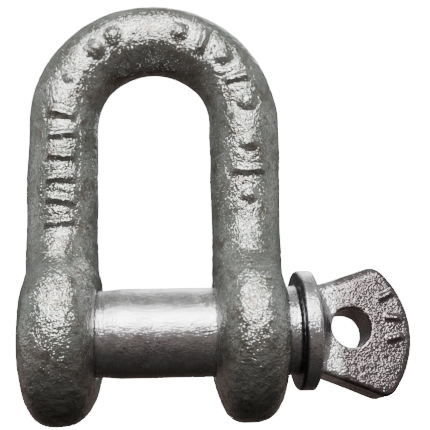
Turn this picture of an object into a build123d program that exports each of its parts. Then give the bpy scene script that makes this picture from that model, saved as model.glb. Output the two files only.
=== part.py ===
from build123d import *
import os
from math import radians, sqrt, tan

os.makedirs("parts", exist_ok=True)

# Screw-pin chain shackle for half-inch chain. Millimetres.
# +Z runs from the pin to the crown, +X along the pin to its handle, +Y to the back.
# The origin is on the pin's axis, midway between the two legs.

# Forged body
BAR_D = 13.0  # round bar of the legs and the crown
INSIDE_WIDTH = 20.4  # between the legs
INSIDE_LENGTH = 40.2  # from the top of the pin to the underside of the crown
EAR_ROUNDING = 2.8  # exponent of the ear's section: 2 is an ellipse, more is squarer
LEFT_EAR_X = -16.4  # the threaded ear
LEFT_EAR_THICKNESS = 14.4
LEFT_EAR_R = 15.7
RIGHT_EAR_X = 16.6  # the plain ear
RIGHT_EAR_THICKNESS = 13.6
RIGHT_EAR_R = 16.2
PLAIN_BORE_D = 17.5
FILLET_TOP = 24.0  # height where a leg starts to deepen towards its ear
DEEPENING = 1.2  # how much deeper the leg is on the way down
LEG_DEPTH = 0.62  # half depth of the leg inside the ear, as a share of the ear's radius
HIDDEN = 0.1  # how far the leg's oval sections stay inside the bar and the ear

# Dished face around the thread's mouth, and its counterbore
DISH_R = 11.4
DISH_X = -10.0
MOUTH_R = 8.05
MOUTH_X = -10.4
MOUTH_END = -13.1

# Screw pin
PIN_D = 16.0
SHANK_START = -6.3  # end of the plain shank nearest to the thread
SHOULDER_X = -10.9  # end of the shank's taper
SHOULDER_D = 15.1
NECK_X = -11.4  # where the thread's root begins
TIP_X = -22.6
TIP_CHAMFER = 0.6
SPINDLE_D = 15.2  # inside the collar

# Thread of the pin, 11 turns to the inch, right-hand
PITCH = 25.4 / 11
THREAD_D = 15.4
ROOT_D = 13.1
CREST_WIDTH = 0.5
FLANK = tan(radians(30))  # each flank leans 30 degrees
THREAD_START = -11.7
THREAD_FADE = 1.3  # length over which the thread runs out at each end
RIDGE_SINK = 0.1  # how far the ridge reaches below the root

# Thread of the ear
NUT_BORE_D = 13.7
NUT_ROOT_D = 16.0
FLANK_GAP = 0.2  # clearance on each flank, square to it
GROOVE_START = -25.5
GROOVE_END = -9.0
GROOVE_RISE = 0.3  # how far the cutting groove reaches inside the bore
COUNTERSINK_D = 17.2
COUNTERSINK_X = -23.1  # where the outer countersink is widest
CLEAR = 4.0  # how far a cutter runs past the face that it cuts

# Collar of the pin
COLLAR_D = 21.6
COLLAR_START = 25.2
COLLAR_RIM = (25.6, 28.1)  # the cylindrical part
COLLAR_END = 29.0
COLLAR_BORE_D = 15.4
SEAT_D = 20.8  # the flat face that meets the plain ear
COLLAR_FOOT_D = 17.6  # where the bevel beside the handle ends

# Handle: a flat plate with a rounded outer edge and an eye
HANDLE_TURN = -11.5  # degrees about the pin, as the pin stands at rest
HANDLE_THICKNESS = 8.6
HANDLE_START = 29.1
HANDLE_NECK = (-8.2, 7.6)  # its lowest and highest points beside the collar
HANDLE_UPPER = (39.8, 11.0)  # its corners and the middle of its outer edge: x and z
HANDLE_OUTER = (45.4, -1.0)
HANDLE_LOWER = (40.3, -12.8)
HANDLE_CORNER_R = 2.2
HANDLE_EDGE_R = 0.8
NECK_CONE = ((29.2, 7.6), (31.2, 3.6))  # from the spindle down into the plate: x and radius
EYE_X = 34.7
EYE_Z = -0.4
EYE_D = 7.0

LEG_X = (INSIDE_WIDTH + BAR_D) / 2
CROWN_Z = PIN_D / 2 + INSIDE_LENGTH - INSIDE_WIDTH / 2


def bent_bar():
    """The round bar: two straight legs and the half circle of the crown."""
    left = Line((-LEG_X, 0, 0), (-LEG_X, 0, CROWN_Z))
    crown = ThreePointArc((-LEG_X, 0, CROWN_Z), (0, 0, CROWN_Z + LEG_X), (LEG_X, 0, CROWN_Z))
    right = Line((LEG_X, 0, CROWN_Z), (LEG_X, 0, 0))
    section = Plane((-LEG_X, 0, 0)) * Circle(BAR_D / 2)
    return sweep(section, path=Wire([left.edge(), crown.edge(), right.edge()]))


def ear(middle, thickness, radius):
    """A flattened round eye about the pin, with a superellipse for its section."""
    steps = 12
    points = []
    for step in range(steps + 1):
        across = -1 + 2 * step / steps
        # crowd the points towards the rim, where the section bends most
        across = across * (3 - across * across) / 2
        height = radius * (1 - abs(across) ** EAR_ROUNDING) ** (1 / EAR_ROUNDING)
        points.append((middle + thickness / 2 * across, 0, height))
    outline = Spline(*points, tangents=[(0, 0, 1), (0, 0, -1)])
    section = make_face([outline.edge(), Line(points[-1], points[0]).edge()])
    return revolve(section, axis=Axis.X)


def deepening_leg(side, middle, radius):
    """The lower leg, which deepens towards its ear while its width stays nearly the bar's."""
    bar_r = BAR_D / 2
    low = LEG_DEPTH * radius
    halfway = (FILLET_TOP + radius / 2) / 2
    sections = [
        (FILLET_TOP, side * LEG_X, bar_r - HIDDEN / 5, bar_r - HIDDEN / 5),
        (halfway, side * LEG_X, bar_r - HIDDEN, bar_r + DEEPENING),
        (radius / 2, (side * LEG_X + middle) / 2, bar_r - HIDDEN, low + DEEPENING),
        (0, middle, bar_r - 2 * HIDDEN, low),
    ]
    ovals = []
    for z, x, half_width, half_depth in sections:
        ovals.append(Plane((x, 0, z)) * Ellipse(half_width, half_depth))
    return loft(ovals)


def about_pin(*points):
    """Revolve an outline of (x, radius) points about the pin's axis."""
    outline = Polyline(*[(x, 0, radius) for x, radius in points], close=True)
    return revolve(make_face(outline.edges()), axis=Axis.X)


def thread_turns(start, end, root, crest, crest_width, foot):
    """A helical ridge about the pin, from a foot radius to a crest radius.

    Every ridge starts a whole number of turns from the same point, so that the
    thread of the pin and the thread of the ear are in step.
    """
    turns = int((end - start) / PITCH) + 3
    first = round(start / PITCH) - 1
    half_crest = crest_width / 2
    half_foot = half_crest + (crest - foot) * FLANK
    corners = [(foot, -half_foot), (crest, -half_crest), (crest, half_crest), (foot, half_foot)]
    section = Polyline(*[(radius, 0, along) for radius, along in corners], close=True)
    ridge = sweep(make_face(section.edges()), path=Helix(PITCH, turns * PITCH, root), is_frenet=True)
    return Pos(first * PITCH, 0, 0) * Rot(0, 90, 0) * ridge


def threaded_hole():
    """What is cut out of the left ear: its dish, counterbore, bore and countersink."""
    bore, wide = NUT_BORE_D / 2, COUNTERSINK_D / 2
    return about_pin(
        (COUNTERSINK_X - CLEAR, 0),
        (COUNTERSINK_X - CLEAR, wide),
        (COUNTERSINK_X, wide),
        (COUNTERSINK_X + wide - bore, bore),
        (MOUTH_END - (MOUTH_R - bore), bore),
        (MOUTH_END, MOUTH_R),
        (MOUTH_X, MOUTH_R),
        (DISH_X, DISH_R),
        (DISH_X + CLEAR, DISH_R),
        (DISH_X + CLEAR, 0),
    )


def thread_groove():
    """The pin's own ridge grown by the flank gap, to be cut out of the left ear."""
    bore, root = NUT_BORE_D / 2, NUT_ROOT_D / 2
    width_at_bore = CREST_WIDTH + (THREAD_D - NUT_BORE_D) * FLANK + 2 * FLANK_GAP * sqrt(1 + FLANK**2)
    bottom_width = width_at_bore - 2 * (root - bore) * FLANK
    return thread_turns(GROOVE_START, GROOVE_END, bore, root, bottom_width, bore - GROOVE_RISE)


def shackle_body():
    """The forged body, with a threaded left ear and a plain right ear."""
    body = bent_bar()
    for side, middle, thickness, radius in (
        (-1, LEFT_EAR_X, LEFT_EAR_THICKNESS, LEFT_EAR_R),
        (1, RIGHT_EAR_X, RIGHT_EAR_THICKNESS, RIGHT_EAR_R),
    ):
        body = body + ear(middle, thickness, radius)
        body = body + deepening_leg(side, middle, radius)
    plain = Cylinder(PLAIN_BORE_D / 2, RIGHT_EAR_THICKNESS + CLEAR)
    body = body - Pos(RIGHT_EAR_X, 0, 0) * Rot(0, 90, 0) * plain
    return body - threaded_hole() - thread_groove()


def handle():
    """The flat plate that the pin is turned by, before it is turned about the pin."""
    neck_low, neck_top = [(HANDLE_START, 0, z) for z in HANDLE_NECK]
    upper, outer, lower = [(x, 0, z) for x, z in (HANDLE_UPPER, HANDLE_OUTER, HANDLE_LOWER)]
    outline = [
        Line(neck_low, neck_top),
        Line(neck_top, upper),
        ThreePointArc(upper, outer, lower),
        Line(lower, neck_low),
    ]
    plate = extrude(make_face([piece.edge() for piece in outline]), HANDLE_THICKNESS / 2, both=True)
    corners = [edge for edge in plate.edges().filter_by(Axis.Y) if edge.center().X > HANDLE_START + 0.5]
    plate = fillet(corners, HANDLE_CORNER_R)
    rim = [edge for edge in plate.edges() if edge.center().X > HANDLE_START + 0.5]
    flat_rim = [edge for edge in rim if abs(edge.center().Y) > HANDLE_THICKNESS / 2 - 0.01]
    return fillet(flat_rim, HANDLE_EDGE_R)


def eye():
    """The hole through the handle."""
    return Pos(EYE_X, 0, EYE_Z) * Rot(90, 0, 0) * Cylinder(EYE_D / 2, HANDLE_THICKNESS + CLEAR)


def screw_pin():
    """Thread, shank, spindle and handle, forged in one."""
    core = about_pin(
        (TIP_X, 0),
        (TIP_X, ROOT_D / 2 - TIP_CHAMFER),
        (TIP_X + TIP_CHAMFER, ROOT_D / 2),
        (NECK_X, ROOT_D / 2),
        (SHOULDER_X, SHOULDER_D / 2),
        (SHANK_START, PIN_D / 2),
        (COLLAR_START, PIN_D / 2),
        (COLLAR_START, SPINDLE_D / 2),
        *NECK_CONE,
        (NECK_CONE[1][0], 0),
    )
    crest = THREAD_D / 2
    foot = ROOT_D / 2 - RIDGE_SINK
    ridge = thread_turns(TIP_X, THREAD_START, ROOT_D / 2, crest, CREST_WIDTH, foot)
    thread_end = TIP_X + TIP_CHAMFER
    runout = about_pin(
        (thread_end, 0),
        (thread_end, foot),
        (thread_end + THREAD_FADE, crest + RIDGE_SINK),
        (THREAD_START - THREAD_FADE, crest + RIDGE_SINK),
        (THREAD_START, foot),
        (THREAD_START, 0),
    )
    turned = Rot(HANDLE_TURN, 0, 0)
    return core + turned * handle() - turned * eye() + (ridge & runout)


def pin_collar():
    """The bevelled flange that seats on the plain ear."""
    bore, seat, foot, rim = (diameter / 2 for diameter in (COLLAR_BORE_D, SEAT_D, COLLAR_FOOT_D, COLLAR_D))
    return about_pin(
        (COLLAR_START, bore),
        (COLLAR_START, seat),
        (COLLAR_RIM[0], rim),
        (COLLAR_RIM[1], rim),
        (COLLAR_END, foot),
        (COLLAR_END, bore),
    )


for name, make in (
    ("shackle_body", shackle_body),
    ("pin_collar", pin_collar),
    ("screw_pin", screw_pin),
):
    export_step(make(), f"parts/{name}.step")
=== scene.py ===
"""A galvanised screw-pin D shackle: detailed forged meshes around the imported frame."""

import math

import bpy
import numpy as np
from mathutils import Matrix, Vector


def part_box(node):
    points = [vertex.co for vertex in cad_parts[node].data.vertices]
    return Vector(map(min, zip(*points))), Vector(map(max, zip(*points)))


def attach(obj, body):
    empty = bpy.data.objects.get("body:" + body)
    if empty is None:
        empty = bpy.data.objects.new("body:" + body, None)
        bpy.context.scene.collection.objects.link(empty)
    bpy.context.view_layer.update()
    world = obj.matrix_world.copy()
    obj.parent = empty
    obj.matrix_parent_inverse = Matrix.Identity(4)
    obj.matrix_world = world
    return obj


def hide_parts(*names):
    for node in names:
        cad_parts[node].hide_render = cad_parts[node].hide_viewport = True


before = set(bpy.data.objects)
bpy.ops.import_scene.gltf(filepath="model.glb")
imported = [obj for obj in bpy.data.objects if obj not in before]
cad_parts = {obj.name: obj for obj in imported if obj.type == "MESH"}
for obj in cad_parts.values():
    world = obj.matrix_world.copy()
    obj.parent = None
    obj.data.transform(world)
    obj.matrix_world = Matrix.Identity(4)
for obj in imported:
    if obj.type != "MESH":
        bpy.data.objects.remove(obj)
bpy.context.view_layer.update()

# Lengths are in millimetres until a mesh is finished, and then in metres.
MM = 0.001

# Sizes of the forging, from the frame
BODY_LOW, BODY_HIGH = (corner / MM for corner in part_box("shackle_body"))
COLLAR_LOW, COLLAR_HIGH = (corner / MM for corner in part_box("pin_collar"))
BAR_R = 6.5
LEG_X = 16.7
CROWN_Z = BODY_HIGH.z - LEG_X - BAR_R
BORE_R = 8.75  # plain hole of the right ear

# Size of the remeshing voxels
BODY_VOXEL = 0.37
PIN_VOXEL = 0.25

# Rise of the generic raised marks
BODY_MARK_RISE = 0.55
HANDLE_MARK_RISE = 0.4

# Camera, fitted to the object's proportions: millimetres and degrees
CAMERA_PLACE = (1.6, -125.5, 4.4)
CAMERA_YAW = 4.27
CAMERA_PITCH = 7.66
CAMERA_ROLL = -0.99
CAMERA_LENS = 57.4

# Strength of the white backdrop and floor, as the camera sees them
BACKDROP = 20.0

# Lights: name, place and size in millimetres, power in watts
SOFTBOXES = (
    ("key", (-20, -330, 262), 140, 3.6),
    ("left_side", (-380, 20, 60), 200, 0.14),
    ("right_side", (420, 20, 60), 200, 0.12),
    ("back", (60, 330, 250), 200, 0.6),
)

# Handle, as the CAD turns it about the pin
HANDLE_TURN = math.radians(-11.5)
HANDLE_FACE_Y = 4.3
HANDLE_START = COLLAR_HIGH.x
BEVEL_WIDTH = 2.0  # along the handle's upper edge
BEVEL_DEPTH = 0.16  # share of the thickness taken off at the edge


# ---------------------------------------------------------------- noise

class Noise:
    """Seeded value noise on a repeating lattice, from -1 to 1."""

    SIDE = 64

    def __init__(self, seed):
        self.values = np.random.default_rng(seed).uniform(-1, 1, (self.SIDE,) * 3)

    def __call__(self, points, size):
        """The noise at points, with lumps of about the given size."""
        scaled = points / size
        low = np.floor(scaled).astype(int)
        part = scaled - low
        part = part * part * (3 - 2 * part)
        total = np.zeros(len(points))
        for corner in np.ndindex(2, 2, 2):
            weight = np.ones(len(points))
            for axis in range(3):
                weight = weight * (part[:, axis] if corner[axis] else 1 - part[:, axis])
            index = (low + corner) % self.SIDE
            total += weight * self.values[index[:, 0], index[:, 1], index[:, 2]]
        return total

    def layers(self, points, size, count, fade=0.5):
        """Several sizes of noise added up, each half the size of the one before."""
        total = np.zeros(len(points))
        strength = 1.0
        for layer in range(count):
            total += strength * self(points + 17.3 * layer, size / 2**layer)
            strength *= fade
        return total


# ---------------------------------------------------------------- meshes

def step_up(value, low, high):
    """0 below low, 1 above high, smooth between."""
    part = np.clip((value - low) / (high - low), 0, 1)
    return part * part * (3 - 2 * part)


def remeshed(name, nodes, voxel):
    """One closed, even mesh in millimetres around the joined CAD nodes."""
    points, faces = [], []
    for node in nodes:
        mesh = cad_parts[node].data
        shift = len(points)
        points += [vertex.co / MM for vertex in mesh.vertices]
        faces += [[shift + index for index in polygon.vertices] for polygon in mesh.polygons]
    mesh = bpy.data.meshes.new(name)
    mesh.from_pydata(points, [], faces)
    piece = bpy.data.objects.new(name, mesh)
    bpy.context.scene.collection.objects.link(piece)
    remesh = piece.modifiers.new("even", "REMESH")
    remesh.mode = "VOXEL"
    remesh.voxel_size = voxel
    evaluated = piece.evaluated_get(bpy.context.evaluated_depsgraph_get())
    finished = bpy.data.meshes.new_from_object(evaluated)
    piece.modifiers.clear()
    piece.data = finished
    finished.name = name
    return piece


def read_points(mesh):
    points = np.empty(len(mesh.vertices) * 3, np.float32)
    mesh.vertices.foreach_get("co", points)
    return points.reshape(-1, 3).astype(float)


def write_points(mesh, points):
    mesh.vertices.foreach_set("co", points.astype(np.float32).ravel())
    mesh.update()


def read_normals(mesh):
    normals = np.empty(len(mesh.vertices) * 3, np.float32)
    mesh.vertices.foreach_get("normal", normals)
    return normals.reshape(-1, 3).astype(float)


def smoothed(mesh, points, weight, rounds):
    """Moves each point towards the middle of its neighbours, by its weight, without shrinking much."""
    edges = np.empty(len(mesh.edges) * 2, np.int32)
    mesh.edges.foreach_get("vertices", edges)
    a, b = edges.reshape(-1, 2).T
    count = np.bincount(a, minlength=len(points)) + np.bincount(b, minlength=len(points))
    for _ in range(rounds):
        for pull in (0.6, -0.55):
            total = np.empty_like(points)
            for axis in range(3):
                total[:, axis] = np.bincount(a, points[b, axis], len(points))
                total[:, axis] += np.bincount(b, points[a, axis], len(points))
            middle = total / count[:, None]
            points = points + pull * weight[:, None] * (middle - points)
    return points


def finish_piece(piece, body, nodes, material):
    """Scales a piece to metres and hands it to the frame."""
    write_points(piece.data, read_points(piece.data) * MM)
    piece.data.shade_smooth()
    piece.data.materials.clear()
    piece.data.materials.append(material)
    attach(piece, body)
    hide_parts(*nodes)


# ---------------------------------------------------------------- forged body

def along_bar(points):
    """Distance along the bar's centreline, and distance off it outwards.

    The first starts at the pin's height on the left leg.
    """
    x, z = points[:, 0], points[:, 2]
    angle = np.arctan2(x, z - CROWN_Z)
    in_crown = z > CROWN_Z
    half = CROWN_Z + LEG_X * math.pi / 2
    along = np.where(in_crown, half + LEG_X * angle, np.where(x < 0, z, 2 * half - z))
    off = np.where(in_crown, np.hypot(x, z - CROWN_Z), np.abs(x)) - LEG_X
    return along, off


def bar_mark(along, off, place, side, length, width, turn=0):
    """Depth inside a flat-ended raised bar, in its own turned frame."""
    c, s = math.cos(math.radians(turn)), math.sin(math.radians(turn))
    u, v = along - place, off - side
    u, v = c * u + s * v, -s * u + c * v
    return np.minimum(width / 2 - np.abs(u), length / 2 - np.abs(v))


def boss_mark(along, off, place, side, radius):
    return radius - np.hypot(along - place, off - side)


def body_marks(points):
    """Rise of the generic raised marks on the front of the legs and the crown.

    It is 1 on top of a mark, and below 0 in the shallow rim around it.
    """
    along, off = along_bar(points)
    crown_top = CROWN_Z + LEG_X * math.pi / 2
    right_top = 2 * crown_top - CROWN_Z
    bars = []
    domes = []
    # left leg: a ladder of bars, leaning one way and the other
    for number in range(6):
        place = CROWN_Z - 18.5 + 3.9 * number
        lean = 6 * (-1) ** number
        bars.append(bar_mark(along, off, place, -0.2, 5.0, 1.25, lean))
    domes.append(boss_mark(along, off, CROWN_Z + 7.6, 0.2, 0.8))
    # crown: bosses and bars in a row
    domes.append(boss_mark(along, off, crown_top - 11.6, -0.2, 1.6))
    domes.append(boss_mark(along, off, crown_top - 7.6, 0.2, 1.6))
    for number in range(5):
        place = crown_top + 4.5 + 4.6 * number
        if number % 2:
            bars.append(bar_mark(along, off, place, 0.3, 4.4, 1.2, 20 - 10 * number))
        else:
            domes.append(boss_mark(along, off, place, 0.3, 1.6))
    # right leg: a bar between two bosses
    domes.append(boss_mark(along, off, right_top + 4.6, 0, 1.4))
    bars.append(bar_mark(along, off, right_top + 9.3, 0, 6.0, 1.3))
    domes.append(boss_mark(along, off, right_top + 13.8, 0, 1.4))
    depth = np.maximum(np.max(bars, axis=0), np.max(domes, axis=0))
    rise = step_up(np.max(bars, axis=0), -0.35, 0.6)
    domed = step_up(np.max(domes, axis=0), -0.3, 1.4)
    rim = step_up(depth, -1.1, -0.5) * (1 - step_up(depth, -0.5, 0.0))
    return np.maximum(rise, domed) - 0.18 * rim


def wrinkles(points, noise):
    """Slanting forging wrinkles, from 0 to 1, the same way up on both ears."""
    out, up = np.abs(points[:, 0]), points[:, 2]
    lengthways, across = (out + up) / math.sqrt(2), (up - out) / math.sqrt(2)
    stretched = np.column_stack([lengthways * 0.3, points[:, 1] * 0.6, across])
    return 1 - np.abs(noise.layers(stretched, 1.5, 2))


def forged_body(material):
    piece = remeshed("shackle_body_forging", ["shackle_body"], BODY_VOXEL)
    mesh = piece.data
    points = read_points(mesh)
    radius = np.hypot(points[:, 1], points[:, 2])
    skin = step_up(radius, BORE_R + 0.3, BORE_R + 1.8)
    points = smoothed(mesh, points, skin, 30)
    joining = step_up(points[:, 2], 7.0, 12.0) * (1 - step_up(points[:, 2], 21.0, 27.0))
    points = smoothed(mesh, points, skin * joining, 90)
    write_points(mesh, points)
    normals = read_normals(mesh)
    noise = Noise(11)
    lumps = 0.24 * noise.layers(points, 9.0, 2) + 0.035 * noise.layers(points + 40, 2.6, 2)
    grain = 0.05 * noise.layers(points + 70, 0.8, 1)
    pits = -0.06 * step_up(noise.layers(points + 90, 1.5, 2), 0.5, 1.1)
    on_ear = 1 - step_up(radius, 15.5, 19.0)
    folds = 0.07 * on_ear * (step_up(wrinkles(points, noise), 0.55, 1.0) - 0.4)
    wavy = points + 0.25 * np.column_stack([noise(points + 7 * k, 1.6) for k in range(3)])
    front = step_up(-points[:, 1], 2.0, 3.6)
    marks = BODY_MARK_RISE * body_marks(wavy) * front
    height = (lumps + grain + pits + folds) * skin + marks
    write_points(mesh, points + normals * height[:, None])
    finish_piece(piece, "shackle_body", ["shackle_body"], material)


# ---------------------------------------------------------------- pin

def in_handle_frame(points):
    """The same points with the handle's plate turned flat: its faces square to Y."""
    c, s = math.cos(-HANDLE_TURN), math.sin(-HANDLE_TURN)
    turned = points.copy()
    turned[:, 1] = c * points[:, 1] - s * points[:, 2]
    turned[:, 2] = s * points[:, 1] + c * points[:, 2]
    return turned


def from_handle_frame(points):
    c, s = math.cos(HANDLE_TURN), math.sin(HANDLE_TURN)
    turned = points.copy()
    turned[:, 1] = c * points[:, 1] - s * points[:, 2]
    turned[:, 2] = s * points[:, 1] + c * points[:, 2]
    return turned


def upper_edge_distance(flat):
    """Distance inside the handle's upper slanting edge, in the handle's own frame."""
    start, end = Vector((HANDLE_START, 7.6)), Vector((39.8, 11.0))
    along = (end - start).normalized()
    return (flat[:, 0] - start.x) * along.y - (flat[:, 2] - start.y) * along.x


def handle_marks(flat):
    """Rise of generic raised marks along the handle's outer edge, from 0 to 1."""
    x, z = flat[:, 0], flat[:, 2]
    bars = [
        bar_mark(z, x, 5.2, 41.3, 3.0, 1.0, -24),
        bar_mark(z, x, 1.2, 42.3, 2.8, 1.0, 8),
        bar_mark(z, x, -2.4, 42.2, 2.8, 1.0, -12),
    ]
    return step_up(np.max(bars, axis=0), -0.3, 0.4)


def forged_pin(material):
    piece = remeshed("screw_pin_forging", ["screw_pin", "pin_collar"], PIN_VOXEL)
    mesh = piece.data
    points = read_points(mesh)
    noise = Noise(23)
    narrow_end = 1 - step_up(points[:, 0], -11.6, -11.0)
    handle = step_up(points[:, 0], HANDLE_START + 0.1, HANDLE_START + 1.0)
    points = smoothed(mesh, points, 0.9 * (1 - narrow_end), 6)
    points = smoothed(mesh, points, 0.9 * handle, 8)
    # the bevel along the handle's upper edge
    flat = in_handle_frame(points)
    inside = upper_edge_distance(flat)
    past_collar = step_up(flat[:, 0], HANDLE_START + 0.5, HANDLE_START + 2.0)
    bevel = (1 - step_up(inside, 0.0, BEVEL_WIDTH)) * past_collar
    flat[:, 1] *= 1 - BEVEL_DEPTH * bevel
    points = from_handle_frame(flat)
    write_points(mesh, points)
    normals = read_normals(mesh)
    face = step_up(np.abs(flat[:, 1]), HANDLE_FACE_Y - 0.5, HANDLE_FACE_Y - 0.2)
    below_bevel = step_up(inside, BEVEL_WIDTH - 0.2, BEVEL_WIDTH + 0.2)
    rough = handle * below_bevel * step_up(flat[:, 0], 31.8, 32.8)
    grain = 0.028 * noise.layers(points, 0.55, 1) + 0.035 * noise.layers(points + 31, 3.0, 1)
    soft = 0.014 * noise.layers(points + 11, 1.6, 2)
    front = step_up(-flat[:, 1], 2.0, 3.0)
    marks = HANDLE_MARK_RISE * handle_marks(flat) * face * front
    height = (grain * rough + soft) * (1 - narrow_end) + marks
    write_points(mesh, points + normals * height[:, None])
    finish_piece(piece, "screw_pin", ["screw_pin", "pin_collar"], material)


# ---------------------------------------------------------------- materials

class Nodes:
    """A short way to build a material's node tree."""

    def __init__(self, name):
        self.material = bpy.data.materials.new(name)
        self.material.use_nodes = True
        self.tree = self.material.node_tree
        self.shader = self.tree.nodes["Principled BSDF"]
        self.place = self.add("ShaderNodeTexCoord").outputs["Object"]

    def add(self, kind, **values):
        node = self.tree.nodes.new(kind)
        for name, value in values.items():
            if name in node.bl_rna.properties:
                setattr(node, name, value)
            else:
                node.inputs[name].default_value = value
        return node

    def link(self, start, end):
        self.tree.links.new(start, end)

    def noise(self, size_mm, detail=3.0, roughness=0.55, distortion=0.0):
        scale = 1 / (size_mm * MM)
        node = self.add(
            "ShaderNodeTexNoise", Scale=scale, Detail=detail, Roughness=roughness, Distortion=distortion
        )
        self.link(self.place, node.inputs["Vector"])
        return node.outputs["Fac"]

    def range(self, value, low, high, to_low=0.0, to_high=1.0):
        node = self.add("ShaderNodeMapRange")
        self.link(value, node.inputs["Value"])
        sockets = ("From Min", "From Max", "To Min", "To Max")
        for socket, number in zip(sockets, (low, high, to_low, to_high)):
            node.inputs[socket].default_value = number
        return node.outputs["Result"]

    def mix(self, share, first, second):
        node = self.add("ShaderNodeMix", data_type="RGBA")
        self.link(share, node.inputs["Factor"])
        for socket, colour in ((node.inputs["A"], first), (node.inputs["B"], second)):
            if isinstance(colour, tuple):
                socket.default_value = (*colour, 1)
            else:
                self.link(colour, socket)
        return node.outputs["Result"]

    def bumps(self, *layers):
        """Bumps from (height, strength, depth in millimetres), one on top of the other."""
        normal = None
        for height, strength, depth in layers:
            node = self.add("ShaderNodeBump", Strength=strength, Distance=depth * MM)
            self.link(height, node.inputs["Height"])
            if normal is not None:
                self.link(normal, node.inputs["Normal"])
            normal = node.outputs["Normal"]
        self.link(normal, self.shader.inputs["Normal"])


def rough_zinc():
    """Zinc on a rough forging: grey, with greenish and brownish patches and a fine grain."""
    n = Nodes("rough_zinc")
    patches = n.range(n.noise(7.0, 4), 0.35, 0.65)
    stain = n.range(n.noise(3.1, 5, 0.65, 0.6), 0.5, 0.7)
    grey = n.mix(patches, (0.30, 0.32, 0.295), (0.47, 0.48, 0.46))
    brown = n.mix(stain, grey, (0.23, 0.195, 0.165))
    speck = n.range(n.noise(0.6, 2), 0.55, 0.8)
    n.link(n.mix(speck, brown, (0.14, 0.135, 0.13)), n.shader.inputs["Base Color"])
    n.shader.inputs["Metallic"].default_value = 0.9
    n.link(n.range(n.noise(1.1, 3), 0.3, 0.7, 0.14, 0.28), n.shader.inputs["Roughness"])
    n.bumps((n.noise(0.9, 2), 1.0, 0.12), (n.noise(0.36, 2), 1.0, 0.19))
    return n.material


def smooth_zinc():
    """Zinc on the turned shank, with a grainy handle and a dark ring of painted shade where the
    collar's face meets the shank.
    """
    n = Nodes("smooth_zinc")
    split = n.add("ShaderNodeSeparateXYZ")
    n.link(n.place, split.inputs["Vector"])
    on_handle = n.range(split.outputs["X"], (HANDLE_START + 2.6) * MM, (HANDLE_START + 3.8) * MM)
    patches = n.range(n.noise(4.0, 4), 0.35, 0.65)
    shank = n.mix(patches, (0.50, 0.47, 0.50), (0.64, 0.64, 0.63))
    handle = n.mix(patches, (0.16, 0.13, 0.135), (0.25, 0.22, 0.22))
    zinc = n.mix(on_handle, shank, handle)
    speck = n.range(n.noise(0.5, 2), 0.58, 0.8)
    specked = n.mix(speck, zinc, (0.17, 0.155, 0.17))
    # Painted shade: a dark ring where the collar's face meets the shank, standing in for the shade in
    # that step.
    past_seat = n.range(split.outputs["X"], (COLLAR_LOW.x - 0.5) * MM, (COLLAR_LOW.x - 0.1) * MM)
    past_edge = n.range(split.outputs["X"], (COLLAR_LOW.x + 0.35) * MM, (COLLAR_LOW.x + 0.75) * MM)
    collar_painted_shade = n.mix(past_seat, specked, (0.08, 0.075, 0.09))
    n.link(n.mix(past_edge, collar_painted_shade, specked), n.shader.inputs["Base Color"])
    n.shader.inputs["Metallic"].default_value = 0.95
    n.link(n.range(n.noise(1.0, 3), 0.3, 0.7, 0.15, 0.28), n.shader.inputs["Roughness"])
    n.bumps((n.noise(1.0, 2), 0.8, 0.07), (n.noise(0.32, 2), 1.0, 0.11))
    return n.material


# ---------------------------------------------------------------- stage

def pale_floor():
    size = 1.2
    mesh = bpy.data.meshes.new("floor")
    height = BODY_LOW.z * MM - 0.0003
    corners = [(x * size, y * size, height) for x, y in ((-1, -1), (1, -1), (1, 1), (-1, 1))]
    mesh.from_pydata(corners, [], [(0, 1, 2, 3)])
    floor = bpy.data.objects.new("floor", mesh)
    bpy.context.scene.collection.objects.link(floor)
    material = bpy.data.materials.new("floor_white")
    material.use_nodes = True
    shader = material.node_tree.nodes["Principled BSDF"]
    shader.inputs["Base Color"].default_value = (0.9, 0.9, 0.9, 1)
    shader.inputs["Roughness"].default_value = 0.9
    shader.inputs["Emission Color"].default_value = (1, 1, 1, 1)
    shader.inputs["Emission Strength"].default_value = BACKDROP
    mesh.materials.append(material)
    floor.visible_glossy = False
    floor.visible_diffuse = False


def soft_light(name, place, size, power):
    """A square softbox that faces the middle of the object. Lengths in millimetres."""
    lamp = bpy.data.lights.new(name, "AREA")
    lamp.shape = "SQUARE"
    lamp.size = size * MM
    lamp.energy = power
    light = bpy.data.objects.new(name, lamp)
    bpy.context.scene.collection.objects.link(light)
    light.location = Vector(place) * MM
    aim = Vector((10, 0, 20)) * MM - light.location
    light.rotation_euler = aim.to_track_quat("-Z", "Y").to_euler()


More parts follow.
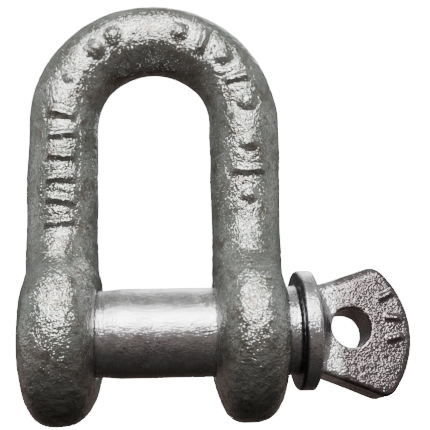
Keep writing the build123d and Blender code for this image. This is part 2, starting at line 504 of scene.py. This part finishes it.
def world_light():
    """A white backdrop, and dimmer studio walls that light the metal: pale above, dark below."""
    world = bpy.data.worlds.new("studio")
    bpy.context.scene.world = world
    world.use_nodes = True
    tree = world.node_tree
    walls = tree.nodes["Background"]
    backdrop = tree.nodes.new("ShaderNodeBackground")
    backdrop.inputs["Strength"].default_value = BACKDROP
    backdrop.inputs["Color"].default_value = (1, 1, 1, 1)
    direction = tree.nodes.new("ShaderNodeTexCoord")
    split = tree.nodes.new("ShaderNodeSeparateXYZ")
    ramp = tree.nodes.new("ShaderNodeValToRGB")
    height = tree.nodes.new("ShaderNodeMapRange")
    tree.links.new(direction.outputs["Generated"], split.inputs["Vector"])
    tree.links.new(split.outputs["Z"], height.inputs["Value"])
    height.inputs["From Min"].default_value = -1
    tree.links.new(height.outputs["Result"], ramp.inputs["Fac"])
    bands = ramp.color_ramp.elements
    bands[0].position, bands[0].color = 0.17, (0.03, 0.027, 0.024, 1)
    bands[1].position, bands[1].color = 0.58, (0.20, 0.21, 0.205, 1)
    brownish = bands.new(0.37)
    brownish.color = (0.23, 0.175, 0.165, 1)
    level = bands.new(0.50)
    level.color = (0.10, 0.10, 0.095, 1)
    ceiling = bands.new(0.88)
    ceiling.color = (0.42, 0.43, 0.42, 1)
    tree.links.new(ramp.outputs["Color"], walls.inputs["Color"])
    seen = tree.nodes.new("ShaderNodeLightPath")
    mix = tree.nodes.new("ShaderNodeMixShader")
    tree.links.new(seen.outputs["Is Camera Ray"], mix.inputs["Fac"])
    tree.links.new(walls.outputs["Background"], mix.inputs[1])
    tree.links.new(backdrop.outputs["Background"], mix.inputs[2])
    tree.links.new(mix.outputs["Shader"], tree.nodes["World Output"].inputs["Surface"])


def camera():
    data = bpy.data.cameras.new("camera")
    data.lens = CAMERA_LENS
    data.sensor_width = 36
    data.clip_start = 0.005
    eye = bpy.data.objects.new("camera", data)
    bpy.context.scene.collection.objects.link(eye)
    yaw, pitch, roll = (math.radians(a) for a in (CAMERA_YAW, CAMERA_PITCH, CAMERA_ROLL))
    turn = Matrix.Rotation(-yaw, 4, "Z") @ Matrix.Rotation(math.pi / 2 + pitch, 4, "X")
    turn = turn @ Matrix.Rotation(roll, 4, "Z")
    eye.matrix_world = Matrix.Translation(Vector(CAMERA_PLACE) * MM) @ turn
    bpy.context.scene.camera = eye


forged_body(rough_zinc())
forged_pin(smooth_zinc())
pale_floor()
world_light()
for softbox in SOFTBOXES:
    soft_light(*softbox)
camera()
